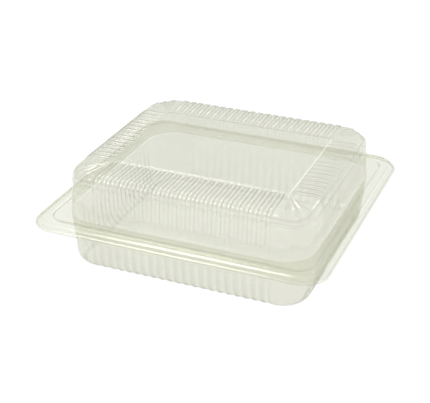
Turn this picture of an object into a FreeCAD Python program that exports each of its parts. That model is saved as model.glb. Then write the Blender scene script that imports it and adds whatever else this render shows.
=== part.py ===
# Clear thermoformed clamshell pack: a fluted tray and a domed lid of one thin plastic sheet,
# joined along the back rim by a living hinge. Millimetres, Z up, origin at the bottom centre.
# X runs along the front edge, the hinge is at the back (+Y), and the pack opens at the front.
import FreeCAD, Part
import math
import os

# The sheet, and the gap between the two nested halves
sheet = 0.40
nest_gap = 0.30

# Rim, common to both halves
rim_length = 200.0
rim_depth = 190.0
rim_corner = 18.0
rim_width = 10.7
rim_step = 1.1
rim_step_corner = 11.0
rim_step_run = 0.5
step_nest = 0.35

# Tray
tray_height = 36.8
tray_mouth_length = 169.0
tray_mouth_depth = 153.0
tray_corner = 21.5
tray_draft_deg = 4.6
tray_bottom_radius = 8.0
tray_skirt_inset = 2.4
tray_skirt_flare = 0.2
tray_lip_drop = 2.1
flute_width = 4.1
flute_depth = 0.9
flute_pitch = 5.87

# Lid
lid_height = 67.5
dome_length = 164.0
dome_depth = 145.4
dome_corner = 18.0
dome_edge_radius = 5.0
dome_draft_deg = 4.6
panel_length = 125.0
panel_depth = 91.0
panel_step = 0.8
rib_width = 2.9
rib_height = 0.6
rib_pitch = 5.87
corner_rib_reach = 9.0
ledge_height = 1.4
ledge_reach = 0.7
ledge_drop = 6.0
lid_skirt_inset = 1.6
lid_lip_inset = 0.6
lid_bead_width = 4.0
lid_bead_rise = 0.4
lid_skirt_drop = 2.8

# Living hinge along the back rim
hinge_length = 150.0
hinge_clearance = 0.15

# Small bends of the sheet, and how far a raised rib sinks into it
bend = 0.8
foot_bend = 1.2
sink = 0.15

# Levels and places worked out from the sizes above
tray_land_top = tray_height + rim_step
tray_lip_top = tray_height - tray_lip_drop
lid_flange_top = tray_height + nest_gap + sheet
lid_land_top = lid_flange_top + rim_step
lid_bead_top = lid_land_top + lid_bead_rise
lid_lip_top = lid_bead_top - lid_skirt_drop
shoulder_top = lid_height - panel_step
hinge_z = (tray_lip_top + lid_lip_top - sheet) / 2
hinge_inner_radius = (lid_lip_top - sheet - tray_lip_top) / 2
hinge_outer_radius = hinge_inner_radius + sheet
hinge_y = rim_depth / 2 - hinge_outer_radius
centre = FreeCAD.Vector(0, 0, 0)
upright = FreeCAD.Vector(0, 0, 1)


def unit(vector):
    length = math.hypot(vector[0], vector[1])
    return (vector[0] / length, vector[1] / length)


def spot(point):
    return FreeCAD.Vector(point[0], 0, point[1])


def bent_edges(points, radii):
    # The edges of an open line in X (reach) and Z (height), with a tangent arc at each bend.
    edges = []
    start = points[0]
    for before, corner, after, radius in zip(points[:-2], points[1:-1], points[2:], radii):
        u = unit((corner[0] - before[0], corner[1] - before[1]))
        v = unit((after[0] - corner[0], after[1] - corner[1]))
        half_turn = math.acos(max(-1.0, min(1.0, u[0] * v[0] + u[1] * v[1]))) / 2
        back = radius * math.tan(half_turn)
        enter = (corner[0] - u[0] * back, corner[1] - u[1] * back)
        edges.append(Part.makeLine(spot(start), spot(enter)))
        start = enter
        if back > 1e-6:
            inward = unit((v[0] - u[0], v[1] - u[1]))
            reach = radius / math.cos(half_turn) - radius
            middle = (corner[0] + inward[0] * reach, corner[1] + inward[1] * reach)
            start = (corner[0] + v[0] * back, corner[1] + v[1] * back)
            edges.append(Part.Arc(spot(enter), spot(middle), spot(start)).toShape())
    edges.append(Part.makeLine(spot(start), spot(points[-1])))
    return edges


def shifted(points, radii, distance):
    # The same bent line moved sideways, to the left of its run, with its bends kept concentric.
    runs = []
    for a, b in zip(points[:-1], points[1:]):
        runs.append(unit((b[0] - a[0], b[1] - a[1])))
    normals = [(-run[1], run[0]) for run in runs]
    first, last = normals[0], normals[-1]
    moved = [(points[0][0] + first[0] * distance, points[0][1] + first[1] * distance)]
    new_radii = []
    for corner, radius, n, m in zip(points[1:-1], radii, normals[:-1], normals[1:]):
        scale = distance / (1 + n[0] * m[0] + n[1] * m[1])
        moved.append((corner[0] + (n[0] + m[0]) * scale, corner[1] + (n[1] + m[1]) * scale))
        turn = n[0] * m[1] - n[1] * m[0]
        new_radii.append(max(radius - math.copysign(distance, turn), 0.0))
    moved.append((points[-1][0] + last[0] * distance, points[-1][1] + last[1] * distance))
    return moved, new_radii


def closed_face(near_points, near_radii, far_points, far_radii):
    # The face between two bent lines that run the same way.
    edges = bent_edges(near_points, near_radii)
    edges.append(Part.makeLine(spot(near_points[-1]), spot(far_points[-1])))
    edges += bent_edges(far_points[::-1], far_radii[::-1])
    edges.append(Part.makeLine(spot(far_points[0]), spot(near_points[0])))
    return Part.Face(Part.Wire(edges))


def band(points, radii, low, high):
    # The section of a sheet or a rib that lies between two distances to the left of a line.
    near = shifted(points, radii, low)
    far = shifted(points, radii, high)
    return closed_face(near[0], near[1], far[0], far[1])


def moved_copy(shape, offset, angle):
    copy = shape.copy()
    copy.translate(offset)
    copy.rotate(centre, upright, angle)
    return copy


def ring(section, half_x, half_y):
    # A section swept round a rounded rectangle whose corner axes stand at half_x and half_y.
    # The section's reach is measured outwards from those axes.
    side = moved_copy(section, FreeCAD.Vector(half_x, -half_y, 0), 0)
    side = side.extrude(FreeCAD.Vector(0, 2 * half_y, 0))
    front = moved_copy(section, FreeCAD.Vector(half_y, -half_x, 0), 0)
    front = front.extrude(FreeCAD.Vector(0, 2 * half_x, 0))
    turned = section.revolve(centre, upright, 90)
    corner = moved_copy(turned, FreeCAD.Vector(half_x, half_y, 0), 0)
    other = moved_copy(turned, FreeCAD.Vector(half_y, half_x, 0), 0)
    pieces = []
    for angle in (0, 180):
        pieces.append(moved_copy(side, centre, angle))
        pieces.append(moved_copy(front, centre, angle + 90))
        pieces.append(moved_copy(corner, centre, angle))
        pieces.append(moved_copy(other, centre, angle + 90))
    return pieces


def rounded_plate(length, depth, corner, low, thickness):
    # A flat plate with round corners.
    half_x = length / 2
    half_y = depth / 2
    across = FreeCAD.Vector(-half_x, corner - half_y, low)
    along = FreeCAD.Vector(corner - half_x, -half_y, low)
    pieces = [Part.makeBox(length, depth - 2 * corner, thickness, across)]
    pieces.append(Part.makeBox(length - 2 * corner, depth, thickness, along))
    for x in (-1, 1):
        for y in (-1, 1):
            axis = FreeCAD.Vector(x * (half_x - corner), y * (half_y - corner), low)
            pieces.append(Part.makeCylinder(corner, thickness, axis))
    return pieces[0].multiFuse(pieces[1:]).removeSplitter()


def flat_ring(outer, inner, low):
    # A flat sheet between two rounded outlines, each given as length, depth and corner radius.
    plate = rounded_plate(outer[0], outer[1], outer[2], low, sheet)
    return plate.cut(rounded_plate(inner[0], inner[1], inner[2], low, sheet))


def bar(section, width):
    # A raised bar of the given section, centred on the X axis.
    copy = moved_copy(section, FreeCAD.Vector(0, -width / 2, 0), 0)
    return copy.extrude(FreeCAD.Vector(0, width, 0))


def places(span, pitch):
    # Evenly spaced places, centred along a span.
    count = int(span / pitch)
    return [(i - (count - 1) / 2) * pitch for i in range(count)]


def set_along(side_bar, front_bar, half_x, half_y, span_x, span_y, pitch):
    # Copies of two bars set along all four sides. The bars' reach is measured from the side lines.
    copies = []
    for angle in (0, 180):
        for place in places(span_y, pitch):
            copies.append(moved_copy(side_bar, FreeCAD.Vector(half_x, place, 0), angle))
        for place in places(span_x, pitch):
            copies.append(moved_copy(front_bar, FreeCAD.Vector(half_y, place, 0), angle + 90))
    return copies


def joined(pieces):
    return pieces[0].multiFuse(pieces[1:]).removeSplitter()


def trimmed_at_hinge(shape):
    # The lips stop short of the hinge axis, so that the halves can lie flat side by side.
    edge = hinge_y - hinge_clearance
    waste = Part.makeBox(rim_length, rim_depth, lid_height, FreeCAD.Vector(-rim_length / 2, edge, 0))
    return shape.cut(waste)


def rim_outline(inset, corner):
    return (rim_length - 2 * inset, rim_depth - 2 * inset, corner)


def rim_step_ring(flange_top, out):
    # The step that lifts the outer land of the rim above the flange. It stands out by the given
    # distance from its usual place, which leaves room in the tray's step for the lid's.
    foot = rim_step_corner - rim_step_run + out
    head = rim_step_corner + out
    line = [(foot - bend, flange_top), (foot, flange_top)]
    line += [(head, flange_top + rim_step), (head + bend, flange_top + rim_step)]
    section = band(line, (0.0, 0.0), -sheet, 0.0)
    half_x = rim_length / 2 - rim_width - rim_step_corner
    half_y = rim_depth / 2 - rim_width - rim_step_corner
    return ring(section, half_x, half_y)


def flange(mouth, top, out):
    # The flat flange from the mouth of a half out to the step of the rim.
    inset = rim_width + rim_step_run + bend - out
    outer = rim_outline(inset, rim_step_corner - rim_step_run - bend + out)
    return flat_ring(outer, mouth, top - sheet)


def land(outer_inset, top, out):
    # The raised flat land of the rim, from the step out to the skirt or bead.
    outer = rim_outline(outer_inset, rim_corner - outer_inset)
    inner = rim_outline(rim_width - bend - out, rim_step_corner + bend + out)
    return flat_ring(outer, inner, top - sheet)


def skirt_ring(line, radii):
    # The bent outer edge of the rim. Its reach is measured outwards from the rim's outline.
    points = [(rim_corner + reach, height) for reach, height in line]
    section = band(points, radii, -sheet, 0.0)
    return ring(section, rim_length / 2 - rim_corner, rim_depth / 2 - rim_corner)


# Tray: floor, drafted wall and mouth, then the flange, the raised land, the skirt and the lip

def tray_wall_line(start):
    # The underside and outside of the tray wall, as reach from the mouth's outline.
    lean = (tray_height - sheet) * math.tan(math.radians(tray_draft_deg))
    return [(start, 0.0), (-lean, 0.0), (0.0, tray_height - sheet)]


def tray_shell():
    line = [(tray_corner + reach, height) for reach, height in tray_wall_line(-tray_corner)]
    end = tray_corner + foot_bend + bend
    line.append((end, tray_height - sheet))
    section = band(line, (tray_bottom_radius, foot_bend), 0.0, sheet)
    half_x = tray_mouth_length / 2 - tray_corner
    half_y = tray_mouth_depth / 2 - tray_corner
    pieces = ring(section, half_x, half_y)
    pieces.append(Part.makeBox(2 * half_x, 2 * half_y, sheet, FreeCAD.Vector(-half_x, -half_y, 0)))
    reach = foot_bend + bend
    mouth = (tray_mouth_length + 2 * reach, tray_mouth_depth + 2 * reach, end)
    pieces.append(flange(mouth, tray_height, step_nest))
    pieces += rim_step_ring(tray_height, step_nest)
    skirt_start = tray_skirt_inset + 2 * bend
    pieces.append(land(skirt_start, tray_land_top, step_nest))
    skirt = [(-skirt_start, tray_land_top), (-tray_skirt_inset, tray_land_top)]
    skirt += [(tray_skirt_flare - tray_skirt_inset, tray_lip_top), (0.0, tray_lip_top)]
    pieces += skirt_ring(skirt, (0.0, 0.0))
    return joined(pieces)


def flute():
    # One flute and the groove behind it. It stands out from the wall and dies into the floor's edge.
    wall = tray_wall_line(-tray_corner)
    radii = (tray_bottom_radius,)
    outer = [(wall[0][0], 0.0), (wall[1][0] + flute_depth, 0.0), (wall[2][0] + flute_depth, wall[2][1])]
    inner = shifted(wall, radii, sink)
    solid = bar(closed_face(outer, radii, inner[0], inner[1]), flute_width)
    near = shifted(outer, radii, sheet)
    far = shifted(wall, radii, sheet + sink)
    hollow = bar(closed_face(near[0], near[1], far[0], far[1]), flute_width - 2 * sheet)
    return solid, hollow


def tray():
    solid, hollow = flute()
    half_x = tray_mouth_length / 2
    half_y = tray_mouth_depth / 2
    span_x = tray_mouth_length - 2 * tray_corner
    span_y = tray_mouth_depth - 2 * tray_corner
    flutes = set_along(solid, solid, half_x, half_y, span_x, span_y, flute_pitch)
    grooves = set_along(hollow, hollow, half_x, half_y, span_x, span_y, flute_pitch)
    return trimmed_at_hinge(joined([tray_shell()] + flutes).cut(grooves))


# Lid: raised panel, ribbed shoulder and wall, ledge, then the flange, the land, the bead and the skirt

def dome_wall_line(start):
    # The top and outside of the dome, as reach from its upper outline.
    lean = (shoulder_top - lid_flange_top) * math.tan(math.radians(dome_draft_deg))
    return [(start, shoulder_top), (0.0, shoulder_top), (lean, lid_flange_top)]


def lid_shell():
    line = [(dome_corner + reach, height) for reach, height in dome_wall_line(-dome_corner)]
    foot = line[-1][0] + foot_bend + bend
    line.append((foot, lid_flange_top))
    section = band(line, (dome_edge_radius, foot_bend), -sheet, 0.0)
    half_x = dome_length / 2 - dome_corner
    half_y = dome_depth / 2 - dome_corner
    pieces = ring(section, half_x, half_y)
    top = FreeCAD.Vector(-half_x, -half_y, shoulder_top - sheet)
    pieces.append(Part.makeBox(2 * half_x, 2 * half_y, sheet, top))
    mouth = (2 * (half_x + foot), 2 * (half_y + foot), foot)
    pieces.append(flange(mouth, lid_flange_top, 0.0))
    pieces += rim_step_ring(lid_flange_top, 0.0)
    bead_start = lid_skirt_inset + lid_bead_width
    pieces.append(land(bead_start, lid_land_top, 0.0))
    skirt = [(-bead_start, lid_land_top), (bend - bead_start, lid_land_top)]
    skirt += [(bend - bead_start + lid_bead_rise, lid_bead_top), (-lid_skirt_inset, lid_bead_top)]
    skirt += [(-lid_skirt_inset, lid_lip_top), (-lid_lip_inset, lid_lip_top)]
    pieces += skirt_ring(skirt, (0.0, 0.0, 0.0, 0.0))
    return joined(pieces)


def ledge():
    # A small bead that runs round the dome below its rounded shoulder.
    top = shoulder_top - ledge_drop
    slope = math.tan(math.radians(dome_draft_deg))
    line = [(dome_corner + ledge_drop * slope, top)]
    line.append((line[0][0] + ledge_height * slope, top - ledge_height))
    section = band(line, (), -sink, ledge_reach)
    return ring(section, dome_length / 2 - dome_corner, dome_depth / 2 - dome_corner)


def rib(start, drop):
    # One rib and the groove behind it, from its start on the shoulder to its drop down the wall.
    slope = math.tan(math.radians(dome_draft_deg))
    radii = (dome_edge_radius,)
    line = [(start, shoulder_top), (0.0, shoulder_top), (drop * slope, shoulder_top - drop)]
    solid = bar(band(line, radii, -sink, rib_height), rib_width)
    drop -= sheet
    line = [(start + sheet, shoulder_top), (0.0, shoulder_top), (drop * slope, shoulder_top - drop)]
    hollow = bar(band(line, radii, -sheet - sink, rib_height - sheet), rib_width - 2 * sheet)
    return solid, hollow


def ribs():
    # Ribs run out from the panel, over the shoulder and down the wall to the flange. Three short
    # ones stand round each corner.
    wall = shoulder_top - lid_flange_top
    sides = rib((panel_length - dome_length) / 2, wall)
    fronts = rib((panel_depth - dome_depth) / 2, wall)
    corners = rib(-corner_rib_reach, ledge_drop)
    kinds = []
    for side, front, corner in zip(sides, fronts, corners):
        copies = set_along(side, front, dome_length / 2, dome_depth / 2, panel_length, panel_depth, rib_pitch)
        corner.translate(FreeCAD.Vector(dome_corner, 0, 0))
        for x, y, turn in ((1, 1, 0), (-1, 1, 90), (-1, -1, 180), (1, -1, 270)):
            axis = FreeCAD.Vector(x * (dome_length / 2 - dome_corner), y * (dome_depth / 2 - dome_corner), 0)
            for angle in (20, 45, 70):
                copy = moved_copy(corner, centre, turn + angle)
                copy.translate(axis)
                copies.append(copy)
        kinds.append(copies)
    return kinds


def lid():
    solids, grooves = ribs()
    shell = joined([lid_shell()] + ledge() + solids).cut(grooves)
    size = (panel_length, panel_depth)
    raised = Part.makeBox(size[0], size[1], panel_step + sheet / 2,
                          FreeCAD.Vector(-size[0] / 2, -size[1] / 2, shoulder_top - sheet / 2))
    hollow = Part.makeBox(size[0] - 2 * sheet, size[1] - 2 * sheet, panel_step,
                          FreeCAD.Vector(sheet - size[0] / 2, sheet - size[1] / 2, shoulder_top - sheet))
    return trimmed_at_hinge(shell.fuse(raised).cut(hollow).removeSplitter())


# Hinge: the strip of the same sheet that folds round between the lips of the two halves

def hinge_strip():
    # A half tube between the lips, with its lower edge carried on to meet the tray's lip.
    outer = Part.makeCircle(hinge_outer_radius, centre, FreeCAD.Vector(1, 0, 0), -90, 90)
    inner = Part.makeCircle(hinge_inner_radius, centre, FreeCAD.Vector(1, 0, 0), -90, 90)
    caps = []
    for side in (-1, 1):
        start = FreeCAD.Vector(0, 0, side * hinge_inner_radius)
        end = FreeCAD.Vector(0, 0, side * hinge_outer_radius)
        caps.append(Part.makeLine(start, end))
    outline = Part.Wire(Part.__sortEdges__([outer, inner] + caps))
    web = Part.Face(outline).extrude(FreeCAD.Vector(hinge_length, 0, 0))
    corner = FreeCAD.Vector(0, -hinge_clearance, -hinge_outer_radius)
    tongue = Part.makeBox(hinge_length, hinge_clearance, sheet, corner)
    strip = web.fuse(tongue).removeSplitter()
    strip.translate(FreeCAD.Vector(-hinge_length / 2, hinge_y, hinge_z))
    return strip


def main():
    os.makedirs("parts", exist_ok=True)
    nodes = {"tray": tray(), "lid": lid(), "hinge_strip": hinge_strip()}
    for name, shape in nodes.items():
        solid = shape.Solids[0]
        print(name, "solids", len(shape.Solids), "valid", solid.isValid(), "volume %.0f" % solid.Volume)
        solid.exportStep("parts/%s.step" % name)


main()
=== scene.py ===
import bpy
import math
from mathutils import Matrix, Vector


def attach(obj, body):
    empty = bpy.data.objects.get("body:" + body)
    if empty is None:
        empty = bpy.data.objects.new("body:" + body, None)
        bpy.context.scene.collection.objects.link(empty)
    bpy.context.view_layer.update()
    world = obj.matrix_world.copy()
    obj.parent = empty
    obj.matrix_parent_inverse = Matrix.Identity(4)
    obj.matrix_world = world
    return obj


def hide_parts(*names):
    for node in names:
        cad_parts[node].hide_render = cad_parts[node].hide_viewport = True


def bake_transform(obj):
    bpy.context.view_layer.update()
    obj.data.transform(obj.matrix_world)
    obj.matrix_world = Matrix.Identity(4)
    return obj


# A clear clamshell pack for bakery goods: a fluted tray and a ribbed, domed lid, formed in one
# sheet of thin clear plastic and folded shut along the back. All sizes here are in millimetres
# and go into the meshes as metres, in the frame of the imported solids.
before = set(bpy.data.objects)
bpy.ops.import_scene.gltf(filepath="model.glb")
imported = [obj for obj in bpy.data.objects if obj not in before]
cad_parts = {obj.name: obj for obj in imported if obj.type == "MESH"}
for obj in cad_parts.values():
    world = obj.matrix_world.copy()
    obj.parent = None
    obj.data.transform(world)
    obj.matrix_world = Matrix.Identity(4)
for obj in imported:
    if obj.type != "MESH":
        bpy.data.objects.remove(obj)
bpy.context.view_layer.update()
scene = bpy.context.scene


# The view and the table. The photograph looks down on the front right corner of the pack,
# which stands on a plain white table under large soft lamps.
camera_data = bpy.data.cameras.new("camera")
camera = bpy.data.objects.new("camera", camera_data)
scene.collection.objects.link(camera)
scene.camera = camera
camera_data.sensor_width = 36.0
camera_data.lens = 88.18
camera_data.clip_start = 0.01
camera_data.clip_end = 50.0
camera.location = Vector((0.2426, -0.5967, 0.3618))
aim = Vector((-0.00161, -0.01192, 0.0330))
camera.rotation_mode = "QUATERNION"
camera.rotation_quaternion = (aim - camera.location).to_track_quat("-Z", "Y")

scene.view_settings.view_transform = "Standard"
scene.cycles.max_bounces = 12
scene.cycles.transparent_max_bounces = 48
scene.cycles.glossy_bounces = 3
scene.cycles.diffuse_bounces = 2


class Wire:
    """A node's socket that takes plain sums, so that a mask or a shape reads as its formula."""

    def __init__(self, tree, socket):
        self.tree = tree
        self.socket = socket

    def node(self, kind, settings=(), values=()):
        """Any other node: its kind, its settings, then its sockets by name or number."""
        made = self.tree.nodes.new(kind)
        for name, value in dict(settings).items():
            if name == "ramp":
                stops = made.color_ramp.elements
                while len(stops) < len(value):
                    stops.new(0.5)
                for stop, (place, colour) in zip(stops, value):
                    stop.position = place
                    stop.color = colour
            else:
                setattr(made, name, value)
        for name, value in dict(values).items():
            if isinstance(value, Wire):
                self.tree.links.new(value.socket, made.inputs[name])
            else:
                made.inputs[name].default_value = value
        return made

    def out(self, made, name=0):
        return Wire(self.tree, made.outputs[name])

    def sum(self, operation, first, second=0.0, third=0.0):
        values = {0: first, 1: second, 2: third}
        return self.out(self.node("ShaderNodeMath", {"operation": operation}, values))

    def __add__(self, other):
        return self.sum("ADD", self, other)

    def __sub__(self, other):
        return self.sum("SUBTRACT", self, other)

    def __rsub__(self, other):
        return self.sum("SUBTRACT", other, self)

    def __mul__(self, other):
        return self.sum("MULTIPLY", self, other)

    def __pow__(self, other):
        return self.sum("POWER", self, other)


def new_material(name):
    material = bpy.data.materials.new(name)
    material.use_nodes = True
    material.node_tree.nodes.clear()
    return material, Wire(material.node_tree, None)


table_material, wire = new_material("white_table")
grain = wire.node("ShaderNodeTexNoise", {}, {"Scale": 900.0, "Detail": 2.0})
lift = wire.node("ShaderNodeBump", {}, {"Strength": 0.02, "Distance": 0.0005, "Height": wire.out(grain)})
table_paint = wire.node("ShaderNodeBsdfPrincipled", {}, {
    "Base Color": (0.10, 0.10, 0.10, 1.0), "Roughness": 0.9, "Specular IOR Level": 0.0,
    "Emission Color": (1.0, 1.0, 1.0, 1.0), "Emission Strength": 0.96,
    "Normal": wire.out(lift)})
wire.node("ShaderNodeOutputMaterial", {}, {"Surface": wire.out(table_paint)})
table_mesh = bpy.data.meshes.new("table")
reach = 6.0
table_mesh.from_pydata([(-reach, -reach, 0), (reach, -reach, 0), (reach, reach, 0), (-reach, reach, 0)],
                       [], [(0, 1, 2, 3)])
table_mesh.materials.append(table_material)
table = bpy.data.objects.new("table", table_mesh)
scene.collection.objects.link(table)
table_drop = 0.0002
table.location.z = -table_drop

world = bpy.data.worlds.new("studio")
scene.world = world
world.use_nodes = True
world.node_tree.nodes.clear()
wire = Wire(world.node_tree, None)
sky = wire.node("ShaderNodeTexCoord")
parts = wire.node("ShaderNodeSeparateXYZ", {}, {0: wire.out(sky, "Generated")})
fade = wire.node("ShaderNodeValToRGB", {"ramp": [
    (0.00, (0.44, 0.44, 0.44, 1.0)), (0.30, (0.50, 0.50, 0.50, 1.0)),
    (0.40, (0.60, 0.60, 0.60, 1.0)), (0.53, (0.95, 0.95, 0.95, 1.0))]},
    {0: wire.out(parts, "Z")})
glow = wire.node("ShaderNodeBackground", {}, {"Color": wire.out(fade), "Strength": 1.0})
wire.node("ShaderNodeOutputWorld", {}, {"Surface": wire.out(glow)})


def softbox(name, place, size, power):
    """A rectangular lamp that points at the pack."""
    data = bpy.data.lights.new(name, "AREA")
    data.shape = "RECTANGLE"
    data.size, data.size_y = size
    data.energy = power
    lamp = bpy.data.objects.new(name, data)
    scene.collection.objects.link(lamp)
    lamp.location = Vector(place)
    lamp.rotation_mode = "QUATERNION"
    lamp.rotation_quaternion = (aim - lamp.location).to_track_quat("-Z", "Y")


softbox("front_lamp", (-0.92, -1.42, 2.10), (0.6, 0.75), 9.0)
softbox("right_lamp", (1.25, 2.30, 1.05), (0.6, 0.6), 2.4)
softbox("top_lamp", (-1.0, 1.78, 1.76), (0.5, 0.5), 3.0)


# The tray. One half of the sheet, drawn down into a mould: a flat floor, a wall of broad upright
# flutes with smooth corners, then a flange, a raised land and a short skirt that ends in a lip.
mm = 0.001
sheet = 0.40
rim_half = (100.0, 95.0)
rim_corner = 18.0
step_half = (89.3, 84.3)
step_corner = 11.0
step_rise = 1.1
tray_top = 36.8
tray_lip = 34.5
tray_mouth = (84.5, 76.5)
tray_corner = 21.5
floor_corner = 9.0
foot_bend = 7.8
wall_slope = math.tan(math.radians(4.6))
tray_nest = 0.35
skirt_reach = -2.0
hinge_cut = 93.90


def arc_line(points, radii, steps):
    """The points of an open line of (reach, height) with a round bend at each inner corner."""
    line = [points[0]]
    for before, corner, after, radius in zip(points[:-2], points[1:-1], points[2:], radii):
        u = Vector((corner[0] - before[0], corner[1] - before[1])).normalized()
        v = Vector((after[0] - corner[0], after[1] - corner[1])).normalized()
        half_turn = math.acos(max(-1.0, min(1.0, u.dot(v)))) / 2
        if radius < 1e-6 or half_turn < 1e-4:
            line.append(corner)
            continue
        back = radius * math.tan(half_turn)
        centre = Vector(corner) + (v - u).normalized() * (radius / math.cos(half_turn))
        start = Vector(corner) - u * back - centre
        side = math.copysign(1.0, u.x * v.y - u.y * v.x)
        for i in range(steps + 1):
            turn = side * 2 * half_turn * i / steps
            c, s = math.cos(turn), math.sin(turn)
            line.append((centre.x + start.x * c - start.y * s, centre.y + start.x * s + start.y * c))
    line.append(points[-1])
    return line


def loop_places(half, corner, straight, counts, columns):
    """Points round a rounded rectangle, counterclockwise from the lower end of its right side.
    Each is (x, y, share, turn, quarter): the share runs from -1 to 1 along the straight that
    carries ribs and is 2 elsewhere, and the turn from 0 to 1 round a corner. Straight is half the
    ribbed length along X and Y. Counts are the pieces of those two straights, of the plain length
    beside them and of a corner. Columns are the places of the pieces within one rib."""
    places = []
    hx, hy = half
    for quarter in range(4):
        out, run = (hx, hy) if quarter % 2 == 0 else (hy, hx)
        span = min(straight[1 - quarter % 2], run - corner)
        other = min(straight[quarter % 2], out - corner)
        repeats = counts[1 - quarter % 2] // len(columns)
        group = []
        for i in range(repeats):
            for column in columns:
                share = 2 * (i + column) / repeats - 1
                group.append((out, span * share, share, 0.0))
        for i in range(counts[2]):
            group.append((out, span + (run - corner - span) * i / counts[2], 2.0, 0.0))
        for i in range(counts[3]):
            turn = math.pi / 2 * i / counts[3]
            x = out - corner + corner * math.cos(turn)
            y = run - corner + corner * math.sin(turn)
            group.append((x, y, 2.0, i / counts[3]))
        for i in range(counts[2]):
            step = i / counts[2]
            group.append((out - corner + (other - out + corner) * step, run, 2.0, 1.0))
        c, s = ((1, 0), (0, 1), (-1, 0), (0, -1))[quarter]
        for x, y, share, turn in group:
            places.append((x * c - y * s, x * s + y * c, share, turn, quarter))
    return places


class Sheet:
    """The middle of a formed sheet, made of closed loops joined row by row."""

    fan_turns = (20.0, 45.0, 70.0)
    fan_reach = 1.6

    def __init__(self, lip):
        self.lip = lip
        self.points = []
        self.faces = []
        self.marks = {"rib": [], "wave": [], "fan": [], "flank": [], "valley": [], "shade": [],
                      "touch": []}
        self.loop = None

    def lay_out(self, straight, counts, waves=(0, 0), columns=(0.0,)):
        """Sets how the next loops are divided. Waves are how many ribs stand along X and Y."""
        self.layout = (straight, counts, columns)
        self.waves = waves

    def add_loop(self, half, corner, height, rib=0.0, fan=0.0, soft=None, flank=0.0, valley=0.0,
                 shade=0.0, touch=0.0):
        """One closed loop. Rib is how high its ribs stand, as a share, and fan the same for the
        short ribs in the corners. Where soft is given, as a change of reach and height, the loop
        leans towards it in the middle of each corner. Flank is how much painted shade darkens the
        sides of its ribs, valley the painted shade in the hollows between them, and shade the painted
        shade over the whole loop. Touch marks where it lies against the other half, where its
        reflection is cut: partly the contact of the two sheets, partly painted light that lifts the
        shade of the rim. The lip is trimmed along the back, where the fold begins."""
        places = loop_places(half, corner, *self.layout)
        if soft:
            softer = loop_places((half[0] + soft[0], half[1] + soft[0]), corner + soft[0], *self.layout)
        first = len(self.points)
        for index, (x, y, share, turn, quarter) in enumerate(places):
            z = height
            bump = 0.0
            if 0.0 < turn < 1.0:
                if soft:
                    lean_in = math.sin(math.pi * turn) ** 2
                    x += (softer[index][0] - x) * lean_in
                    y += (softer[index][1] - y) * lean_in
                    z += soft[1] * lean_in
                for middle in self.fan_turns:
                    off = abs(math.radians(turn * 90 - middle) * corner)
                    bump = max(bump, math.cos(min(off / self.fan_reach, 1.0) * math.pi / 2))
            if y > hinge_cut:
                y = hinge_cut - (rim_half[1] - y) * 0.1
                z = self.lip
            count = self.waves[1 - quarter % 2]
            on_side = abs(share) <= 1.0
            self.points.append((x * mm, y * mm, z * mm))
            self.marks["rib"].append(rib if on_side else 0.0)
            self.marks["wave"].append(share * count / 2 + (0.0 if count % 2 else 0.5) if on_side else 0.5)
            self.marks["fan"].append(bump * fan)
            self.marks["flank"].append(flank if on_side else 0.0)
            self.marks["valley"].append(valley if on_side else 0.0)
            # Painted shade: the loop's own, plus painted shade on the flanks of the short corner ribs.
            self.marks["shade"].append(shade + 1.2 * bump * (1.0 - bump) * fan * flank)
            self.marks["touch"].append(touch)
        return list(range(first, len(self.points)))

    def join(self, loop):
        if self.loop is not None:
            old = self.loop
            if len(old) == len(loop):
                for i in range(len(loop)):
                    j = (i + 1) % len(loop)
                    self.faces.append((old[i], loop[i], loop[j], old[j]))
            else:
                self.stitch(old, loop)
        self.loop = loop

    def stitch(self, inner, outer):
        """Joins two loops of unlike counts on the flat flange, always over the shorter diagonal."""
        def angle(index):
            x, y, z = self.points[index]
            return math.atan2(y, x)
        start = min(range(len(outer)), key=lambda k: abs(angle(outer[k]) - angle(inner[0])))
        outer = outer[start:] + outer[:start]
        i = j = 0
        while i < len(inner) or j < len(outer):
            a, b = inner[i % len(inner)], outer[j % len(outer)]
            a2, b2 = inner[(i + 1) % len(inner)], outer[(j + 1) % len(outer)]
            pa, pb, pa2, pb2 = (Vector(self.points[k]) for k in (a, b, a2, b2))
            take_inner = j >= len(outer) or (i < len(inner) and (pa2 - pb).length < (pb2 - pa).length)
            if take_inner:
                self.faces.append((a, b, a2))
                i += 1
            else:
                self.faces.append((a, b, b2))
                j += 1

    def close(self, loop):
        self.faces.append(tuple(loop))

    def object(self, name, material):
        mesh = bpy.data.meshes.new(name)
        mesh.from_pydata(self.points, [], self.faces)
        for key, values in self.marks.items():
            layer = mesh.attributes.new(key, "FLOAT", "POINT")
            layer.data.foreach_set("value", values)
        mesh.materials.append(material)
        made = bpy.data.objects.new(name, mesh)
        scene.collection.objects.link(made)
        return made


def rim_rows(shell, line, flange_top, out, touch):
    """The rows of a rim: the flange's edge, the step, then the line of the outer edge, which is
    given as reach from the rim's outline and height. All are middles of the sheet. The rows of the
    step's riser carry painted shade, a dark line along the step. Out is how far the step stands
    outside its usual place, and touch marks a rim against the other half, where its reflection is
    cut: partly the contact of the two sheets, partly painted light that lifts the rim."""
    shell.lay_out((70.0, 65.0), (24, 22, 2, 18))
    low, high = flange_top - sheet / 2, flange_top + step_rise - sheet / 2
    # Each row: reach inside the step, height, and painted shade; the riser rows are painted darker.
    for reach_in, height, shade in ((-1.9, low, 0.0), (-0.75, low, 0.0), (-0.55, low + 0.06, 0.1),
                                    (-0.42, low + 0.25, 0.2), (-0.08, high - 0.25, 0.2),
                                    (0.05, high - 0.06, 0.1), (0.25, high, 0.0), (1.6, high, 0.0)):
        grown = reach_in + out
        half = (step_half[0] + grown, step_half[1] + grown)
        shell.join(shell.add_loop(half, step_corner + grown, height, shade=shade, touch=touch))
    for reach_out, height in line:
        half = (rim_half[0] + reach_out, rim_half[1] + reach_out)
        under = touch if reach_out < skirt_reach else 0.0
        shell.join(shell.add_loop(half, rim_corner + reach_out, height, touch=under))


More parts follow.
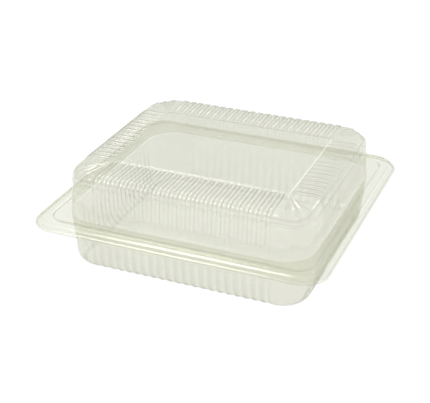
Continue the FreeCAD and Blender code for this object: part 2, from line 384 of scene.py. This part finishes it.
flute_pitch = 5.87
flute_counts = (21, 18)
flute_pieces = 12
flute_fade = 1.6
shell = Sheet(tray_lip)
shell.lay_out([count * flute_pitch / 2 for count in flute_counts],
              (flute_counts[0] * flute_pieces, flute_counts[1] * flute_pieces, 1, 14), flute_counts)
lean = (tray_top - sheet) * wall_slope
floor_line = arc_line([(-40.0, sheet / 2), (-lean, sheet / 2), (0.0, tray_top - sheet / 2),
                       (3.4, tray_top - sheet / 2)], (foot_bend, 0.5), 9)[1:]
for reach_out, height in floor_line:
    half = (tray_mouth[0] + reach_out, tray_mouth[1] + reach_out)
    corner = max(tray_corner + reach_out, floor_corner)
    rise = min(max((height - 0.25) / flute_fade, 0.0), 1.0)
    fade_top = min(max((tray_top - 1.0 - height) / flute_fade, 0.0), 1.0)
    depth = rise * rise * (3 - 2 * rise) * fade_top
    # Painted shade: the rows round the bottom bend are darkened into a dark outline along the foot, and
    # the hollows of the flutes are painted darker. The top of the wall, under the lid's flange, has its
    # reflection cut, partly for the contact of the two sheets, partly as painted light that lifts its
    # shade.
    loop = shell.add_loop(half, corner, height, rib=depth, valley=0.35 * depth,
                          shade=0.4 if 0.4 < height < 1.6 else 0.0,
                          touch=1.0 if height > tray_top - 0.5 else 0.0)
    if shell.loop is None:
        shell.close(loop)
    shell.join(loop)
tray_land = tray_top + step_rise - sheet / 2
tray_edge = arc_line([(-5.2, tray_land), (-2.6, tray_land), (-2.3, tray_lip), (-0.75, tray_lip)],
                     (1.0, 0.4), 6)
tray_edge += [(-0.25, 34.30)]
rim_rows(shell, tray_edge, tray_top, tray_nest, 1.0)

clear_material, wire = new_material("clear_sheet")
place = wire.node("ShaderNodeTexCoord")
waves = wire.node("ShaderNodeTexNoise", {}, {
    "Vector": wire.out(place, "Object"), "Scale": 28.0, "Detail": 2.0, "Roughness": 0.4})
fine = wire.node("ShaderNodeTexNoise", {}, {
    "Vector": wire.out(place, "Object"), "Scale": 420.0, "Detail": 2.0})
ripple = wire.node("ShaderNodeBump", {}, {
    "Strength": 0.25, "Distance": 0.0006, "Height": wire.out(waves) + wire.out(fine) * 0.06})
edge_on = wire.node("ShaderNodeLayerWeight", {}, {"Blend": 0.5, "Normal": wire.out(ripple)})
facing = wire.out(edge_on, "Facing")
# Painted shade: an attribute summed from the painted shade of rib flanks, hollows, rim risers and the
# tray's foot mixes the clear film towards a darker one, most where the sheet is seen edge-on.
thick = wire.out(wire.node("ShaderNodeAttribute", {"attribute_name": "thick"}), "Fac")
touch = wire.out(wire.node("ShaderNodeAttribute", {"attribute_name": "touch"}), "Fac")
clear = wire.node("ShaderNodeBsdfTransparent", {}, {"Color": (0.985, 0.987, 0.968, 1.0)})
painted_shade_film = wire.node("ShaderNodeBsdfTransparent", {}, {"Color": (0.42, 0.43, 0.38, 1.0)})
steep = wire.out(wire.node("ShaderNodeMapRange", {"interpolation_type": "SMOOTHSTEP"},
                           {"Value": facing, "From Min": 0.20, "From Max": 0.90}))
film = wire.node("ShaderNodeMixShader", {}, {
    0: thick * (steep * 0.72 + 0.18), 1: wire.out(clear), 2: wire.out(painted_shade_film)})
gloss = wire.node("ShaderNodeBsdfPrincipled", {}, {
    "Base Color": (0.785, 0.79, 0.705, 1.0), "Roughness": 0.12, "Metallic": 0.42,
    "Normal": wire.out(ripple)})
# The reflection share is cut where the halves lie together: partly the contact of the two sheets, partly
# painted light that lifts the shade of the rim.
skin = wire.node("ShaderNodeMixShader", {}, {
    0: facing ** 5.0 * 0.30 + 0.20 - touch * 0.15, 1: wire.out(film), 2: wire.out(gloss)})
wire.node("ShaderNodeOutputMaterial", {}, {"Surface": wire.out(skin)})


def wave_tree(name):
    """A node tree that lifts every marked point of a sheet along its normal, in waves along the
    side, and stores as an attribute the painted shade of their flanks and hollows, added to each
    loop's own painted shade. Its sizes are named inputs, and the finish is set at its end."""
    tree = bpy.data.node_groups.new(name, "GeometryNodeTree")
    face = tree.interface
    face.new_socket("Geometry", in_out="INPUT", socket_type="NodeSocketGeometry")
    for label in ("Height", "Sharpness", "Fan Height"):
        face.new_socket(label, in_out="INPUT", socket_type="NodeSocketFloat")
    face.new_socket("Finish", in_out="INPUT", socket_type="NodeSocketMaterial")
    face.new_socket("Geometry", in_out="OUTPUT", socket_type="NodeSocketGeometry")
    maker = Wire(tree, None)
    given = maker.node("NodeGroupInput")

    def marked(label):
        made = maker.node("GeometryNodeInputNamedAttribute", {"data_type": "FLOAT"}, {"Name": label})
        return maker.out(made, "Attribute")

    wave = maker.sum("COSINE", marked("wave") * (2 * math.pi)) * maker.out(given, "Sharpness") + 0.5
    shaped = maker.out(maker.node("ShaderNodeMapRange", {"interpolation_type": "SMOOTHSTEP"},
                                  {"Value": wave}))
    lifted = shaped * marked("rib") * maker.out(given, "Height")
    fans = marked("fan") * maker.out(given, "Fan Height")
    normal = maker.out(maker.node("GeometryNodeInputNormal"))
    push = maker.node("ShaderNodeVectorMath", {"operation": "SCALE"}, {0: normal, "Scale": lifted + fans})
    halfway = (1.0 - shaped) * (shaped * 4.0)
    hollow = (1.0 - shaped) * marked("valley")
    note = maker.node("GeometryNodeStoreNamedAttribute", {"data_type": "FLOAT", "domain": "POINT"}, {
        "Geometry": maker.out(given, "Geometry"), "Name": "thick",
        "Value": halfway * marked("flank") + (hollow + marked("shade"))})
    lift = maker.node("GeometryNodeSetPosition", {}, {
        "Geometry": maker.out(note), "Offset": maker.out(push)})
    real = maker.node("GeometryNodeRealizeInstances", {}, {"Geometry": maker.out(lift)})
    paint = maker.node("GeometryNodeSetMaterial", {}, {
        "Geometry": maker.out(real), "Material": maker.out(given, "Finish")})
    maker.node("NodeGroupOutput", {}, {"Geometry": maker.out(paint)})
    return tree


def formed(draft, tree_name, sizes, material, name):
    """Raises the waves on a sheet, gives it its thickness both ways from its middle, and leaves a
    plain mesh."""
    tree = wave_tree(tree_name)
    wave = draft.modifiers.new("waves", "NODES")
    wave.node_group = tree
    for item in tree.interface.items_tree:
        if item.in_out == "INPUT" and item.name in sizes:
            wave[item.identifier] = sizes[item.name]
        if item.in_out == "INPUT" and item.name == "Finish":
            wave[item.identifier] = material
    wall = draft.modifiers.new("thickness", "SOLIDIFY")
    wall.thickness = sheet * mm
    wall.offset = 0.0
    wall.use_even_offset = False
    bpy.context.view_layer.update()
    view = draft.evaluated_get(bpy.context.evaluated_depsgraph_get())
    mesh = bpy.data.meshes.new_from_object(view)
    mesh.name = name
    old = draft.data
    bpy.data.objects.remove(draft)
    bpy.data.meshes.remove(old)
    for key in ("rib", "wave", "fan", "flank", "valley", "shade"):
        if key in mesh.attributes:
            mesh.attributes.remove(mesh.attributes[key])
    mesh.polygons.foreach_set("use_smooth", [True] * len(mesh.polygons))
    mesh.set_sharp_from_angle(angle=math.radians(40))
    made = bpy.data.objects.new(name, mesh)
    scene.collection.objects.link(made)
    return made


draft = shell.object("tray_draft", clear_material)
flutes = {"Height": 0.0009, "Sharpness": 0.55, "Fan Height": 0.0}
tray = formed(draft, "upright_flutes", flutes, clear_material, "tray_sheet")
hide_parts("tray")
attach(tray, "tray_half")


# The lid. The other half of the sheet, drawn up: a raised flat panel, shoulders of ribs that run
# over a rounded edge and down the wall, a ledge, then the flange, land, bead, skirt and lip.
rib_pitch = 5.87
rib_counts = (21, 15)
rib_columns = (0.0, 0.184, 0.217, 0.25, 0.283, 0.316, 0.5, 0.684, 0.717, 0.75, 0.783, 0.816)
panel_half = (62.5, 45.5)
panel_corner = 1.6
dome_half = (82.0, 72.7)
dome_corner = 18.0
lid_flange = 37.5
lid_lip = 36.0
lid_shoulder = 66.7

shell = Sheet(lid_lip)
shell.lay_out([count * rib_pitch / 2 for count in rib_counts],
              (rib_counts[0] * len(rib_columns), rib_counts[1] * len(rib_columns), 5, 54),
              rib_counts, rib_columns)
# The panel's edge: how far inside its outline, how far above the shoulder, and how high the ribs
for shrink, rise, rib in ((2.2, 0.6, 0.0), (0.95, 0.6, 0.0), (0.72, 0.56, 0.0), (0.55, 0.43, 0.0),
                          (0.05, -0.07, 0.0), (-0.12, -0.18, 0.0), (-0.5, -0.2, 0.7)):
    half = (panel_half[0] - shrink, panel_half[1] - shrink)
    # The ribs' flanks get painted shade as strong as the ribs are high.
    loop = shell.add_loop(half, max(panel_corner - shrink, 0.4), lid_shoulder + rise, rib=rib, flank=rib)
    if shell.loop is None:
        shell.close(loop)
    shell.join(loop)
slope_foot = (lid_shoulder - lid_flange) * wall_slope
dome_bends = [(-9.0, lid_shoulder - sheet / 2), (0.0, lid_shoulder - sheet / 2),
              (slope_foot, lid_flange - sheet / 2), (3.6, lid_flange - sheet / 2)]
foot_radius = 0.35
dome_line = arc_line(dome_bends, (4.8, foot_radius), 8)
soft_line = arc_line(dome_bends, (7.5, foot_radius), 8)
ledge_top = lid_shoulder - 6.0
rows = []
for (reach_out, height), (soft_reach, soft_height) in zip(dome_line, soft_line):
    if rows and rows[-1][1] > ledge_top >= height:
        # The ledge, as drops below its top and how far each row stands out from the wall
        for drop, bulge in ((-0.3, 0.0), (0.1, 0.18), (0.5, 0.34), (0.95, 0.36), (1.4, 0.18), (1.9, 0.0)):
            z = ledge_top - drop
            wall = (lid_shoulder - z) * wall_slope
            rows.append((wall + bulge, z, 0.1, -1.5))
        for z, dip in ((56.5, -0.8), (54.0, 0.0), (47.0, 0.0)):
            rows.append(((lid_shoulder - z) * wall_slope, z, 0.0, dip))
    rows.append((reach_out, height, soft_reach - reach_out, soft_height - height))
for reach_out, height, soft_reach, soft_height in rows:
    half = (dome_half[0] + reach_out, dome_half[1] + reach_out)
    near_foot = min(max((height - lid_flange - 0.4) / 1.5, 0.0), 1.0)
    upper = min(max((height - ledge_top) / 1.5, 0.0), 1.0)
    # Painted shade on the rib flanks: fainter on the wall, full on the shoulder. Near the flange the
    # reflection is cut, partly for the contact of the two sheets, partly as painted light.
    flank = near_foot * (0.60 + 0.40 * min(max((height - lid_shoulder + 3.5) / 3.0, 0.0), 1.0))
    rib = near_foot * (0.5 + 0.5 * min(max((height - ledge_top) / 3.0, 0.0), 1.0))
    loop = shell.add_loop(half, dome_corner + reach_out, height, rib=rib, fan=upper,
                          soft=(soft_reach, soft_height), flank=flank, touch=0.4 * (1.0 - near_foot))
    shell.join(loop)
lid_land = lid_flange + step_rise - sheet / 2
lid_edge = arc_line([(-8.4, lid_land), (-5.5, 38.08), (-4.8, 38.6), (-4.0, 38.72), (-2.75, 37.5),
                     (-2.1, lid_lip), (-1.2, lid_lip)], (0.6, 0.6, 0.8, 0.8, 0.3), 4)
lid_edge += [(-0.8, 35.54)]
rim_rows(shell, lid_edge, lid_flange, 0.0, 0.4)
draft = shell.object("lid_draft", clear_material)
ribs = {"Height": 0.00053, "Sharpness": 1.2, "Fan Height": 0.0003}
lid = formed(draft, "shoulder_ribs", ribs, clear_material, "lid_sheet")
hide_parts("lid")
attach(lid, "lid_half")


# The fold. The same sheet, rolled round between the two lips along the back, where it bends each
# time that the pack is opened.
fold_y, fold_z = 94.05, 35.25
fold_length = 150.0
middle = 0.75
across = [(-0.15, -middle)] + [(middle * math.cos(a), middle * math.sin(a)) for a in
                              (math.radians(-90 + 15 * i) for i in range(13))]
points, faces = [], []
stations = 41
for i in range(stations):
    x = -fold_length / 2 + fold_length * i / (stations - 1)
    for y, z in across:
        points.append((x * mm, (fold_y + y) * mm, (fold_z + z) * mm))
for i in range(stations - 1):
    for j in range(len(across) - 1):
        a = i * len(across) + j
        faces.append((a, a + len(across), a + len(across) + 1, a + 1))
fold_mesh = bpy.data.meshes.new("fold_draft")
fold_mesh.from_pydata(points, [], faces)
fold_mesh.materials.append(clear_material)
fold_draft = bpy.data.objects.new("fold_draft", fold_mesh)
scene.collection.objects.link(fold_draft)
wall = fold_draft.modifiers.new("thickness", "SOLIDIFY")
wall.thickness = sheet * mm
wall.offset = 0.0
bpy.context.view_layer.update()
fold_view = fold_draft.evaluated_get(bpy.context.evaluated_depsgraph_get())
fold_final = bpy.data.meshes.new_from_object(fold_view)
fold_final.polygons.foreach_set("use_smooth", [True] * len(fold_final.polygons))
fold_final.set_sharp_from_angle(angle=math.radians(40))
bpy.data.objects.remove(fold_draft)
fold = bpy.data.objects.new("fold_strip", fold_final)
scene.collection.objects.link(fold)
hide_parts("hinge_strip")
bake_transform(fold)
